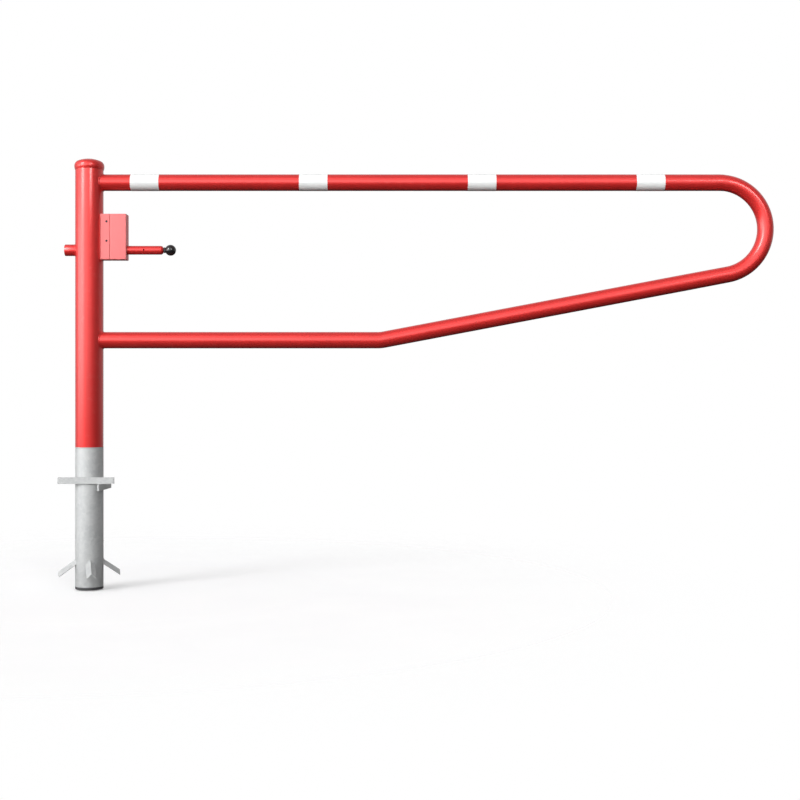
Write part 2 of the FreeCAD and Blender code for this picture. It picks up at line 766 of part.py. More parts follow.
def make_locking_bolt():
    body = new_body("locking_bolt")
    z = D["bolt_z"]
    pad_round(body, "YZ", D["bolt_tip"], D["bolt_end"] - D["bolt_tip"], D["bolt_thick"], None, 0, z)
    round_edges(body, "Chamfer", D["bolt_tip_chamfer"], circle_at(D["bolt_thick"], "x", D["bolt_tip"]))
    round_edges(body, "Fillet", D["bolt_end_round"], circle_at(D["bolt_thick"], "x", D["bolt_end"]))
    pad_round(body, "YZ", D["bolt_end"] - 1, D["stud_end"] - D["bolt_end"] + 1, D["stud_thick"], None, 0, z)
    cut_round(body, "XZ", 0, 60, D["padlock_thick"], D["padlock_x"], z)
    for shift in (0, D["bolt_travel"]):
        far = D["bolt_thick"] + 4
        cut = new_sketch(body, "YZ", (D["notch_left"] + D["notch_right"]) * 0.5 + shift)
        add_rectangle(cut, D["notch_face"], far, D["notch_floor"], z + far)
        pocket(body, cut, (D["notch_right"] - D["notch_left"]) * 0.5)
    run = D["stop_screw_thick"] + D["stop_play"]
    first = D["stop_screw_x"] - run
    last = D["stop_screw_x"] + D["bolt_travel"] + run
    cut = new_sketch(body, "YZ", (first + last) * 0.5)
    add_rectangle(cut, D["stop_screw_y"] - D["groove_side"], D["bolt_thick"] + 2, z - D["bolt_thick"] - 2,
                  D["groove_floor"])
    pocket(body, cut, (last - first) * 0.5)


def make_knob_nut():
    body = new_body("knob_nut")
    sketch = new_sketch(body, "YZ", D["bolt_end"])
    add_hexagon(sketch, 0, D["bolt_z"], D["jam_flats"])
    add_circle(sketch, 0, D["bolt_z"], D["stud_thick"] + D["weld_gap"])
    pad(body, sketch, D["ball_flat"] - D["bolt_end"])


def make_knob_insert():
    body = new_body("knob_insert")
    pad_round(body, "YZ", D["ball_flat"], D["insert_end"] - D["ball_flat"], D["insert_outer"],
              D["stud_thick"] + D["weld_gap"], 0, D["bolt_z"])


def make_ball_knob():
    """A ball with a flat against the nut and a bore for the threaded insert."""
    ball = document.addObject("Part::Sphere", "ball_round")
    ball.setExpression("Radius", words(D["ball_round"]))
    ball.setExpression("Placement.Base.x", words(D["ball_x"]))
    ball.setExpression("Placement.Base.z", words(D["bolt_z"]))
    flat = document.addObject("Part::Box", "ball_flat_cut")
    side = D["ball_round"] * 2
    for field in ("Length", "Width", "Height"):
        flat.setExpression(field, words(side))
    flat.setExpression("Placement.Base.x", words(D["ball_flat"] - side))
    flat.setExpression("Placement.Base.y", words(-D["ball_round"]))
    flat.setExpression("Placement.Base.z", words(D["bolt_z"] - D["ball_round"]))
    bore = document.addObject("Part::Cylinder", "ball_bore")
    bore.setExpression("Radius", words(D["insert_outer"] + D["weld_gap"]))
    bore.setExpression("Height", words(D["insert_end"] - D["ball_flat"] + 1))
    bore.setExpression("Placement.Base.x", words(D["ball_flat"] - 1))
    bore.setExpression("Placement.Base.z", words(D["bolt_z"]))
    bore.Placement.Rotation = FreeCAD.Rotation(FreeCAD.Vector(0, 1, 0), 90)
    faced = document.addObject("Part::Cut", "ball_faced")
    faced.Base = ball
    faced.Tool = flat
    knob = document.addObject("Part::Cut", "ball_knob")
    knob.Base = faced
    knob.Tool = bore
    knob.Label = "ball_knob"
    finished.append(knob)
    document.recompute()


# ---------------------------------------------------------------- quarter-turn lock

def make_lock_core():
    body = new_body("lock_core")
    x, z = D["lock_x"], D["lock_z"]
    floor = D["key_well_floor"]
    half = D["core_square"] * 0.5
    pad_round(body, "XZ", -floor, floor - D["cam_far"], D["core_thick"], None, x, z)
    collar_deep = D["core_collar_deep"]
    pad_round(body, "XZ", -floor - collar_deep, collar_deep, D["core_collar"], None, x, z)
    cam_thick = D["cam_far"] - D["cam_near"]
    pad_rectangle(body, "XZ", -D["cam_far"], cam_thick, x - half, x + half, z - half, z + half)
    sketch = new_sketch(body, "XZ", -D["core_key_end"])
    corners = []
    for k in range(3):
        turn = math.radians(90 + 120 * k)
        out = D["core_key_side"] * (1 / math.sqrt(3))
        corners.append((out * math.cos(turn) + x, out * math.sin(turn) + z))
    add_outline(sketch, corners)
    pad(body, sketch, D["core_key_end"] - floor - D["core_collar_deep"])
    cut_round(body, "XZ", -D["cam_near"], D["core_square"], D["cam_screw_thick"] + D["weld_gap"], x, z)


def make_lock_cam():
    """The turning arm: a bar with a round tip and a square hole for the core."""
    body = new_body("lock_cam")
    x, z, half = D["lock_x"], D["lock_z"], D["cam_half"]
    bar_end = D["cam_reach"] - D["cam_half"]
    sketch = new_sketch(body, "XZ", -D["cam_far"])
    add_outline(sketch, [
        (x, z - half), (x + bar_end, z - half, half * 1.001),
        (x + bar_end, z + half), (x, z + half, half * 1.001),
    ])
    pad(body, sketch, D["cam_far"] - D["cam_near"])
    hole = D["core_square"] * 0.5 + D["weld_gap"]
    cut_rectangle(body, "XZ", -D["cam_far"], 20, x - hole, x + hole, z - hole, z + hole)


def make_cam_screw():
    body = new_body("cam_screw")
    x, z = D["lock_x"], D["lock_z"]
    end = D["cam_near"]
    pad_round(body, "XZ", -end, D["cam_screw_tall"], D["cam_screw_head"], None, x, z)
    pad_round(body, "XZ", -end - D["core_square"] + 1, D["core_square"] - 1, D["cam_screw_thick"], None, x, z)


def build():
    make_ground_sleeve()
    make_anchor_crossbars()
    make_anchor_lugs()
    make_bottom_plug()
    make_spindle_rings()
    make_pivot_spindle()
    make_spindle_plug()
    make_pivot_bush()
    make_retaining_washer()
    make_retaining_bolt()
    make_stop_pin()
    make_post_tube()
    make_post_cap()
    make_bearing_plate()
    make_upper_bush()
    make_lower_bush()
    make_gate_rail()
    make_bands()
    make_bolt_end_sleeve()
    make_stub_end_plate()
    make_bolt_guide()
    make_lock_bracket()
    make_lock_housing()
    make_housing_screws()
    make_bolt_bush()
    make_bolt_stop_screw()
    make_lock_barrel()
    make_lock_nut()
    make_locking_bolt()
    make_knob_nut()
    make_knob_insert()
    make_ball_knob()
    make_lock_core()
    make_lock_cam()
    make_cam_screw()


def check_all():
    for item in document.Objects:
        if "Invalid" in item.State or "Error" in item.State:
            raise ValueError("object in error: " + item.Name)
    for item in finished:
        if item.Shape.isNull() or not item.Shape.isValid() or not item.Shape.Solids:
            raise ValueError("bad shape: " + item.Label)


def export_all():
    os.makedirs("parts", exist_ok=True)
    for item in finished:
        item.Shape.exportStep("parts/%s.step" % item.Label)


build()
document.recompute()
check_all()
export_all()
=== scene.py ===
import json
import math

import bmesh
import bpy
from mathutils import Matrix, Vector


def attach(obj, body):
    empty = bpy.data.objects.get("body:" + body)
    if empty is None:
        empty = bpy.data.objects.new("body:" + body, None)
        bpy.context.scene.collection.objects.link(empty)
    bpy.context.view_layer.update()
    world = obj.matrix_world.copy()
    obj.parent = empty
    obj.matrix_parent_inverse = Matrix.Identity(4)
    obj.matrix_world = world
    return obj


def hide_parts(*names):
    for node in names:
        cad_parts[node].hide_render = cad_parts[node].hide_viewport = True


# Lengths in this script are millimetres unless a name or comment says metres.
MM = 0.001
WELD_GAP = 0.05
POST_R, POST_IN = 50.8, 47.2
POST_TOP = 1028.0
CAP_R, CAP_TOP = 54.0, 1057.0
SLEEVE_TOP, SLEEVE_FOOT, PLUG_FOOT = -4.0, -510.0, -520.0
RAIL_R, RAIL_IN = 30.15, 27.25
RAIL_HIGH, RAIL_LOW = 970.0, 392.0
LOOP_X, LOOP_R = 2311.0, 170.0
LOOP_Z = RAIL_HIGH - LOOP_R
KNEE_X, KNEE_R = 1058.7, 120.0
BAND_FIRST, BAND_STEP, BAND_HALF = 206, 617, 52
BOLT_Z, BOLT_R = 722.0, 16.0
BOLT_TIP, BOLT_END, BOLT_TRAVEL = 46.5, 273.5, 128.0
CROSS_HOLE_X, CROSS_HOLE_R = 202.0, 3.25
STUB_R, STUB_IN, STUB_END = 21.2, 18.0, -88.0
BOX_LOW, BOX_HIGH, BOX_HALF = 686.0, 853.0, 25.0
BOX_SEAM, BOX_GAP, BOX_END = 78.6, 1.2, 139.5
SCREW_X, SCREW_HEIGHTS = 68.0, (754, 825)
LOCK_CENTRE = (92, 0, 768)

# Soft light boxes round the object: direction and height in degrees, half width, half height, brightness.
# Direction 0 is the camera's side, negative is to its left.
LIGHT_BOXES = [
    (-31, 11, 32, 15, 1.2),
    (-62, 3, 28, 8, 3.3),
    (-43, 26, 10, 12, 13.0),
    (24, 20, 8, 5, 14.0),
]
LIGHT_BOX_RIM = 9

# The camera stands here, in metres.
CAMERA_PLACE = (1.140, -4.9, 0.1725)
CAMERA_LENS, CAMERA_SENSOR = 60.08, 36.0

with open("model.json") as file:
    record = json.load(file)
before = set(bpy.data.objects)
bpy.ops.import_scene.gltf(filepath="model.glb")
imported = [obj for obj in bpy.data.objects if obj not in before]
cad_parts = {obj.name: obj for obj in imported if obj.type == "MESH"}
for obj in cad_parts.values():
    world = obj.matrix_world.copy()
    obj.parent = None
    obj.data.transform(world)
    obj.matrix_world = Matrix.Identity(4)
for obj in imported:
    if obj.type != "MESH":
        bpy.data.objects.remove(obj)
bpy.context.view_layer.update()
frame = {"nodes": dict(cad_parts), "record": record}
NODES = frame["nodes"]


# ------------------------------------------------------------------ mesh building

# Points nearer than this are merged, in metres: in a new mesh and after a boolean.
SAME_POINT, AFTER_CUT = 1e-7, 2e-6


def shade(obj, angle=35):
    """Smooth faces, with sharp edges where they meet at more than an angle in degrees."""
    for polygon in obj.data.polygons:
        polygon.use_smooth = True
    obj.data.set_sharp_from_angle(angle=math.radians(angle))


def make_object(name, points, faces, angle=35):
    """A new object from points and faces."""
    mesh = bpy.data.meshes.new(name)
    mesh.from_pydata([(x * MM, y * MM, z * MM) for x, y, z in points], [], faces)
    obj = bpy.data.objects.new(name, mesh)
    bpy.context.scene.collection.objects.link(obj)
    tidy(obj, angle)
    return obj


def tidy(obj, angle=35, near=SAME_POINT):
    """Merge points that are near each other, drop empty faces and turn all faces outwards."""
    bm = bmesh.new()
    bm.from_mesh(obj.data)
    bmesh.ops.remove_doubles(bm, verts=bm.verts, dist=near)
    bmesh.ops.dissolve_degenerate(bm, edges=bm.edges, dist=1e-8)
    bmesh.ops.recalc_face_normals(bm, faces=bm.faces)
    bm.to_mesh(obj.data)
    bm.free()
    shade(obj, angle)


def loft(name, rings, loop=False, angle=35):
    """Skin a list of rings of points. With loop the last ring joins the first, else both ends are capped."""
    count = len(rings[0])
    points = [p for ring in rings for p in ring]
    faces = []
    last = len(rings) if loop else len(rings) - 1
    for i in range(last):
        a = i * count
        b = ((i + 1) % len(rings)) * count
        for k in range(count):
            m = (k + 1) % count
            faces.append((a + k, a + m, b + m, b + k))
    if not loop:
        faces.append(tuple(range(count)))
        faces.append(tuple(range((len(rings) - 1) * count, len(rings) * count)))
    return make_object(name, points, faces, angle)


def rounded(corners, steps=5):
    """A closed outline of (a, b) or (a, b, radius) corners, with arcs at the corners that have a radius."""
    outline = []
    for i, corner in enumerate(corners):
        if len(corner) < 3 or corner[2] <= 0:
            outline.append((corner[0], corner[1]))
            continue
        here = Vector(corner[:2])
        before = (Vector(corners[i - 1][:2]) - here).normalized()
        after = (Vector(corners[(i + 1) % len(corners)][:2]) - here).normalized()
        half = math.acos(max(-1, min(1, before.dot(after)))) / 2
        centre = here + (before + after).normalized() * (corner[2] / math.sin(half))
        start = here + before * (corner[2] / math.tan(half)) - centre
        sweep = start.angle_signed(here + after * (corner[2] / math.tan(half)) - centre)
        for k in range(steps + 1):
            turn = -sweep * k / steps
            x = start.x * math.cos(turn) - start.y * math.sin(turn)
            y = start.x * math.sin(turn) + start.y * math.cos(turn)
            outline.append((centre.x + x, centre.y + y))
    return outline


def on_axis(axis, out, along, turn, centre):
    """A point at a radius and a height along an axis, which passes through centre."""
    c, s = math.cos(turn) * out, math.sin(turn) * out
    x, y, z = centre
    if axis == "z":
        return (x + c, y + s, along)
    if axis == "x":
        return (along, y + c, z + s)
    return (x + c, along, z + s)


def turned(name, outline, axis="z", centre=(0, 0, 0), segments=128, angle=35):
    """Revolve a closed outline of (radius, height) points about an axis."""
    rings = []
    for k in range(segments):
        turn = 2 * math.pi * k / segments
        rings.append([on_axis(axis, max(r, 0), h, turn, centre) for r, h in outline])
    return loft(name, rings, loop=True, angle=angle)


def prism(name, axis, outline, low, high):
    """Extrude an outline of points along x or y."""
    rings = []
    for along in (low, high):
        rings.append([(along, u, v) if axis == "x" else (u, along, v) for u, v in outline])
    return loft(name, rings)


def hexagon(x, y, flats):
    """Corners of a hexagon round a centre, for a distance between flats."""
    out = flats / math.sqrt(3)
    corners = [math.radians(60 * k + 30) for k in range(6)]
    return [(x + out * math.cos(t), y + out * math.sin(t)) for t in corners]


def combine(obj, tool, operation="DIFFERENCE"):
    """Boolean of obj with tool; the tool is used up."""
    modifier = obj.modifiers.new("boolean", "BOOLEAN")
    modifier.object = tool
    modifier.operation = operation
    modifier.solver = "EXACT"
    bpy.context.view_layer.update()
    evaluated = obj.evaluated_get(bpy.context.evaluated_depsgraph_get())
    mesh = bpy.data.meshes.new_from_object(evaluated)
    obj.modifiers.clear()
    obj.data = mesh
    bpy.data.objects.remove(tool)
    tidy(obj, near=AFTER_CUT)
    return obj


def join(name, objects):
    """One mesh from several, which stay separate shells."""
    bm = bmesh.new()
    for obj in objects:
        bm.from_mesh(obj.data)
    mesh = bpy.data.meshes.new(name)
    bm.to_mesh(mesh)
    bm.free()
    for obj in objects:
        bpy.data.objects.remove(obj)
    joined = bpy.data.objects.new(name, mesh)
    bpy.context.scene.collection.objects.link(joined)
    shade(joined)
    return joined


def rod(name, axis, centre, radius, low, high, segments=64):
    """A plain cylinder, mostly used as a cutter."""
    return turned(name, [(0, low), (radius, low), (radius, high), (0, high)], axis, centre, segments)


def bar(name, low, high):
    """A plain box between two corners, used as a cutter."""
    outline = [(low[1], low[2]), (high[1], low[2]), (high[1], high[2]), (low[1], high[2])]
    return prism(name, "x", outline, low[0], high[0])


def circle(count, radius):
    """Points of a circle round 0."""
    turns = [2 * math.pi * k / count for k in range(count)]
    return [(radius * math.cos(t), radius * math.sin(t)) for t in turns]


def wobble(t, seed):
    """A smooth unevenness between -1 and 1 for hand-made edges."""
    return (math.sin(t * 1.7 + seed) + math.sin(t * 3.1 + seed * 2.3) + math.sin(t * 5.3 + seed * 0.7)) / 3


def bead(name, path, closed, size, seed, ripple=2.6):
    """A weld bead along a path of (point, outward) pairs: a rippled, slightly uneven round seam."""
    rings = []
    run = 0.0
    around, flatness, taper = 14, 0.82, 0.08
    count = len(path)
    for i, (point, outward) in enumerate(path):
        before = Vector(path[i - 1][0] if closed or i > 0 else point)
        after = Vector(path[(i + 1) % count][0] if closed or i < count - 1 else point)
        ahead = (after - before).normalized()
        up = Vector(outward)
        up = (up - ahead * up.dot(ahead)).normalized()
        side = ahead.cross(up)
        if i > 0:
            run += (Vector(point) - Vector(path[i - 1][0])).length
        end = 1.0
        if not closed:
            inward = min(i, count - 1 - i) / (count * taper)
            end = math.sin(math.pi / 2 * min(1.0, max(0.03, inward)))
        ring = []
        for k in range(around):
            turn = 2 * math.pi * k / around
            rise = math.cos(turn)
            phase = (run + 0.9 * rise) / ripple
            scallop = abs(math.sin(math.pi * phase)) ** 0.6
            reach = size * end * (0.93 + 0.09 * scallop + 0.05 * wobble(run * 0.11, seed))
            offset = up * (rise * reach * flatness) + side * (math.sin(turn) * reach)
            ring.append(tuple(Vector(point) + offset))
        rings.append(ring)
    return loft(name, rings, loop=closed, angle=60)


# ------------------------------------------------------------------ shapes of the gate

def saddle_x(y, radius=POST_R + WELD_GAP):
    """How far out a tube's saddle-cut end meets the post, at a depth y."""
    return math.sqrt(max(radius * radius - y * y, 0))


def rail_centres():
    """Centre line of the rail between its two ends, as (x, z, tangent angle).

    It runs along the top, round the loop, down the inclined return, round the knee and back along the foot.
    """
    knee_z = RAIL_LOW + KNEE_R
    across = math.hypot(LOOP_X - KNEE_X, LOOP_Z - knee_z)
    slope = math.atan2(LOOP_Z - knee_z, LOOP_X - KNEE_X) - math.asin((LOOP_R - KNEE_R) / across)
    line = []
    for x in (120, 400, 800, 1200, 1600, 2000, 2250):
        line.append((x, RAIL_HIGH, 0.0))
    sweep = math.pi - slope
    for k in range(73):
        turn = math.pi / 2 - sweep * k / 72
        line.append((LOOP_X + LOOP_R * math.cos(turn), LOOP_Z + LOOP_R * math.sin(turn), turn - math.pi / 2))
    knee_end = (KNEE_X + KNEE_R * math.sin(slope), knee_z - KNEE_R * math.cos(slope))
    start_x, start_z = line[-1][:2]
    for k in range(1, 8):
        x = start_x + (knee_end[0] - start_x) * k / 8
        z = start_z + (knee_end[1] - start_z) * k / 8
        line.append((x, z, -sweep))
    for k in range(11):
        turn = slope * (1 - k / 10)
        line.append((KNEE_X + KNEE_R * math.sin(turn), knee_z - KNEE_R * math.cos(turn), -math.pi + turn))
    for x in (900, 600, 300, 120):
        line.append((x, RAIL_LOW, -math.pi))
    return line


def rail_rings(radius, count=96):
    """Sections along the rail, saddle-cut at both ends and a little flattened round the loop."""
    section = circle(count, radius)
    rings = [[(saddle_x(u), u, RAIL_HIGH + v) for u, v in section]]
    for x, z, turn in rail_centres():
        out = (-math.sin(turn), math.cos(turn))
        bent = math.hypot(x - LOOP_X, z - LOOP_Z) < LOOP_R + 1 and x > LOOP_X + 20
        flat = 0.985 if bent else 1.0
        rings.append([(x + out[0] * v * flat, u / flat, z + out[1] * v * flat) for u, v in section])
    rings.append([(saddle_x(u), u, RAIL_LOW - v) for u, v in section])
    return rings


def make_gate_rail():
    """The gate's one bent tube."""
    return loft("rail_tube", rail_rings(RAIL_R) + rail_rings(RAIL_IN)[::-1], loop=True)


def make_post():
    """Post tube with eased ends. Two extra rings keep the faces round the bolt's holes short."""
    ease, arc_points = 0.8, 6
    outline = rounded([(POST_R, 0, ease), (POST_R, POST_TOP, ease), (POST_IN, POST_TOP, ease),
                       (POST_IN, 0, ease)])
    extra = [(POST_R, BOLT_Z - 32), (POST_R, BOLT_Z + 32)]
    post = turned("post", outline[:arc_points] + extra + outline[arc_points:], segments=192)
    guide_hole, bolt_hole = 21.25, 17.0
    combine(post, rod("cut", "x", (0, 0, BOLT_Z), guide_hole, 30, 70, 96))
    combine(post, rod("cut", "x", (0, 0, BOLT_Z), bolt_hole, -70, -30, 96))
    return post


def dome_radius(half_width, rise):
    """Radius of a sphere's cap with a given half width and rise."""
    return (half_width ** 2 + rise ** 2) / (2 * rise)


def dome(radius, top, half_width, steps):
    """Outline of a dome from its middle outwards."""
    reach = math.asin(half_width / radius)
    turns = [reach * k / steps for k in range(steps + 1)]
    return [(radius * math.sin(t), top - radius + radius * math.cos(t)) for t in turns]


def make_cap():
    """Moulded cap: short flared skirt with a rounded rim, a broad shoulder and a shallow crown."""
    rise, wall = 14.5, 3
    crown = dome_radius(CAP_R, rise)
    top = dome(crown, CAP_TOP, 40.0, 40)[::-1]
    shoulder = dome(crown, CAP_TOP, CAP_R - 3, 1)[1][1]
    seat, lip, foot = POST_R + 0.05, CAP_R - 2, POST_TOP - 11
    skirt = rounded([
        (POST_IN, POST_TOP), (seat, POST_TOP), (seat, foot, 0.3), (lip, foot, 0.6),
        (CAP_R, POST_TOP - 3, 8.0), (CAP_R, shoulder, 20.0), top[0],
    ], steps=14)
    inside = dome(dome_radius(POST_IN, 17.0), CAP_TOP - wall, POST_IN - 0.2, 20)
    return turned("cap", skirt[:-1] + top + inside, segments=192)


def make_stub():
    """Short tube on the far side of the post, saddle-cut, with its end plate set just inside the mouth."""
    section = circle(96, 1.0)

    def ring(radius, x=None):
        return [(-saddle_x(u * radius) if x is None else x, u * radius, BOLT_Z + v * radius)
                for u, v in section]

    rings = [ring(STUB_R), ring(STUB_R, STUB_END + 0.7), ring(STUB_R - 0.25, STUB_END + 0.2),
             ring(STUB_R - 0.7, STUB_END), ring(STUB_IN + 0.4, STUB_END), ring(STUB_IN, STUB_END + 0.4),
             ring(STUB_IN)]
    tube = loft("stub_tube", rings, loop=True)
    out, front, back = STUB_IN - 0.05, STUB_END + 1.2, STUB_END + 4.2
    plate = turned("stub_plate", rounded([(0, front), (out, front, 0.5), (out, back, 0.3), (0, back)]),
                   "x", (0, 0, BOLT_Z), 96)
    return tube, plate


def box_section(by, corner):
    """Outline of the lock box in depth and height, smaller all round by a distance."""
    half, low, high = BOX_HALF - by, BOX_LOW + by, BOX_HIGH - by
    corners = [(-half, low), (half, low), (half, high), (-half, high)]
    return rounded([(y, z, corner) for y, z in corners], 6)


def subdivided(outline, parts=6):
    """An outline with its long sides cut up, so that they can follow a curve."""
    fine = []
    for i, p in enumerate(outline):
        q = outline[(i + 1) % len(outline)]
        number = parts if math.dist(p, q) > 5 else 1
        for k in range(number):
            fine.append((p[0] + (q[0] - p[0]) * k / number, p[1] + (q[1] - p[1]) * k / number))
    return fine


def make_bracket():
    """The welded half of the lock box: a folded channel whose left edges follow the post."""
    sheet, ease = 2.9, 0.6
    middle = (BOX_LOW + BOX_HIGH) / 2
    outer = subdivided(box_section(0, 2.0))
    inner = subdivided(box_section(sheet, 0.6))
    eased = [(y - math.copysign(ease, y), z - math.copysign(ease, z - middle)) for y, z in outer]
    rings = [
        [(saddle_x(y), y, z) for y, z in outer],
        [(BOX_SEAM - 0.7, y, z) for y, z in outer],
        [(BOX_SEAM, y, z) for y, z in eased],
        [(BOX_SEAM, y, z) for y, z in inner],
        [(saddle_x(y), y, z) for y, z in inner],
    ]
    bracket = loft("lock_bracket_shell", rings, loop=True)
    for z in SCREW_HEIGHTS:
        combine(bracket, rod("cut", "y", (SCREW_X, 0, z), 2.25, -40, 40, 32))
    return bracket


def make_housing():
    """The removable half of the box, open towards the post, with two inner tabs and the stop screw's boss."""
    start, sheet, fold = BOX_SEAM + BOX_GAP, 3.0, 2.0
    inside = BOX_HALF - sheet

    def ring(x, by, corner=fold):
        return [(x, y, z) for y, z in box_section(by, corner)]

    rings = [ring(start, 0.6), ring(start + 0.7, 0)]
    for k in range(7):
        turn = math.radians(15 * k)
        by = fold - fold * math.cos(turn)
        rings.append(ring(BOX_END - fold + fold * math.sin(turn), by, fold + by * 0.2))
    shell = loft("lock_housing_shell", rings)
    combine(shell, bar("cut", (start - 5, -inside, BOX_LOW + sheet),
                       (BOX_END - sheet, inside, BOX_HIGH - sheet)))
    bite = 0.02
    for side in (-1, 1):
        low, high = sorted((side * (inside - 3), side * (inside + bite)))
        combine(shell, bar("tab", (58, low, 745), (110, high, 839)), "UNION")
    stop_x, stop_y, boss = 118, 8, 7
    combine(shell, bar("boss", (stop_x - boss, stop_y - boss, BOX_LOW + sheet - bite),
                       (stop_x + boss, stop_y + boss, BOX_LOW + 12)), "UNION")
    bush_hole, lock_hole, stop_hole = 19.05, 11.05, 4.05
    combine(shell, rod("cut", "x", (0, 0, BOLT_Z), bush_hole, 120, 150, 96))
    combine(shell, rod("cut", "y", LOCK_CENTRE, lock_hole, 17, 40, 64))
    combine(shell, rod("cut", "z", (stop_x, stop_y, 0), stop_hole, BOX_LOW - 6, BOX_LOW + 16, 48))
    for z in SCREW_HEIGHTS:
        combine(shell, rod("cut", "y", (SCREW_X, 0, z), 2.05, -40, 40, 32))
    return shell


def make_screws():
    """Four button-head screws with hexagon sockets, two in each face of the box."""
    profile = rounded([(0, 2.2), (2.3, 2.2, 1.0), (3.8, 0.6, 0.5), (3.8, 0, 0.1), (2.0, 0), (2.0, -8.6, 0.3),
                       (0, -9)], 6)
    screws = []
    for side in (-1, 1):
        for z in SCREW_HEIGHTS:
            outline = [(r, side * (BOX_HALF + h)) for r, h in profile]
            screw = turned("screw", outline, "y", (SCREW_X, 0, z), 64)
            low, high = sorted((side * (BOX_HALF + 1), side * (BOX_HALF + 5)))
            combine(screw, prism("cut", "y", hexagon(SCREW_X, z, 2.5), low, high))
            screws.append(screw)
    return join("box_screws", screws)


def make_nylon_bush():
    """Flanged bush in the box's end wall, which the bolt runs in."""
    bore, out, flange = BOLT_R + 0.08, 19, 22
    start, step, wall = BOX_END - 10.5, BOX_END - 5.5, BOX_END - 3
    outline = rounded([(bore, start, 0.6), (out, start, 0.3), (out, step), (flange, step, 0.3),
                       (flange, wall), (out, wall), (out, BOX_END, 0.4), (bore, BOX_END, 0.8)], 4)
    return turned("bolt_bush_ring", outline, "x", (0, 0, BOLT_Z), 128)


def make_bolt():
    """Round bolt: chamfered tip, soft outer end, plain stud, two notches, a stop groove and a cross hole."""
    stud, stud_end = 6.0, 290
    outline = rounded([(0, BOLT_TIP), (BOLT_R - 3, BOLT_TIP, 0.6), (BOLT_R, BOLT_TIP + 3, 1.0),
                       (BOLT_R, BOLT_END, 12.0), (stud + 0.6, BOLT_END), (stud, BOLT_END + 0.5),
                       (stud, stud_end, 0.8), (0, stud_end)], 12)
    body = turned("bolt_bar", outline, "x", (0, 0, BOLT_Z), 160)
    notch_start, notch_end = 81.5, 128
    for shift in (0, BOLT_TRAVEL):
        combine(body, bar("cut", (notch_start + shift, 7.5, BOLT_Z + 2.5),
                          (notch_end + shift, 20, BOLT_Z + 20)))
    groove_start, groove_end = 113.7, 250.3
    combine(body, bar("cut", (groove_start, 3.7, BOLT_Z - 22), (groove_end, 18, BOLT_Z - 9.8)))
    combine(body, rod("cut", "y", (CROSS_HOLE_X, 0, BOLT_Z), CROSS_HOLE_R, -30, 30, 64))
    return body


def flat_radius(turn, flats, corners):
    """Radius of a regular polygon at an angle, for a distance from centre to flat; a flat is centred on 0."""
    step = 2 * math.pi / corners
    return flats / math.cos((turn + step / 2) % step - step / 2)


def make_jam_nut():
    """Thin hexagon nut with chamfered corners."""
    low, high = BOLT_END + 0.05, BOLT_END + 6.45
    bore, face, slope = 6.05, 8.7, 0.605
    rings = []
    for k in range(144):
        turn = 2 * math.pi * k / 144
        out = flat_radius(turn, 9, 6)
        fall = (out - face) * slope
        profile = [(bore, low), (face, low), (out, low + fall),
                   (out, high - fall), (face, high), (bore, high)]
        rings.append([on_axis("x", r, h, turn, (0, 0, BOLT_Z)) for r, h in profile])
    return loft("jam_nut", rings, loop=True, angle=25)


def make_ball():
    """Ball knob with a flat face towards the nut and a bore for its insert."""
    radius, centre, flat, bore = 20, 298, 18.0, 8.05
    start = math.asin(flat / radius)
    outline = []
    for k in range(65):
        turn = -start + (start + math.pi / 2) * k / 64
        outline.append((radius * math.cos(turn), centre + radius * math.sin(turn)))
    outline += [(0, 293), (bore, 293), (bore, centre - flat)]
    return turned("knob_ball", outline, "x", (0, 0, BOLT_Z), 128, 30)


def make_lock_barrel():
    """Barrel of the quarter-turn lock, with its key well open to the back."""
    bore, body, flange, well = 5.08, 11, 14, 8.5
    start, floor, rim = 13.2, 19, BOX_HALF + 4
    outline = rounded([(bore, start, 0.3), (body, start, 0.6), (body, BOX_HALF), (flange, BOX_HALF, 0.2),
                       (flange, rim, 1.2), (well, rim, 0.6), (well, floor), (bore, floor)], 5)
    return turned("quarter_turn_barrel", outline, "y", LOCK_CENTRE, 96)


def drive_radius(turn):
    """Radius of the key's triangle, whose round corners point to 90, 210 and 330 degrees."""
    flat, corner = 2.31, 0.7
    centre = 2 * (flat - corner)
    off = (turn - math.pi / 6) % (2 * math.pi / 3) - math.pi / 3
    if abs(off) < math.atan2(corner * math.sin(math.pi / 3), centre + corner / 2):
        return centre * math.cos(off) + math.sqrt(corner ** 2 - (centre * math.sin(off)) ** 2)
    return flat_radius(turn + math.pi / 2, flat, 3)


def make_lock_core():
    """Core of the lock: square end for the cam with a screw hole, shaft, collar and triangular drive."""
    screw_hole, shaft, collar, ease = 3.05, 5, 8, 0.4
    start, hole_end, shoulder, seat, face, tip = 8, 16, 13, 19.05, 21, 27
    rings = []
    for k in range(192):
        turn = 2 * math.pi * k / 192
        square, drive = flat_radius(turn, 4, 4), drive_radius(turn)
        profile = rounded([(0, hole_end), (screw_hole, hole_end), (screw_hole, start), (square, start),
                           (square, shoulder), (shaft, shoulder), (shaft, seat), (collar, seat),
                           (collar, face, ease), (drive, face), (drive, tip - ease), (drive - ease, tip),
                           (0, tip)], 3)
        rings.append([on_axis("y", r, h, turn, LOCK_CENTRE) for r, h in profile])
    return loft("quarter_turn_core", rings, loop=True)


def make_sleeve():
    """Ground sleeve, as wide as the post."""
    ease = 0.8
    outline = rounded([(POST_R, SLEEVE_FOOT, ease), (POST_R, SLEEVE_TOP, ease), (POST_IN, SLEEVE_TOP, ease),
                       (POST_IN, SLEEVE_FOOT, ease)])
    return turned("ground_tube", outline, segments=192)


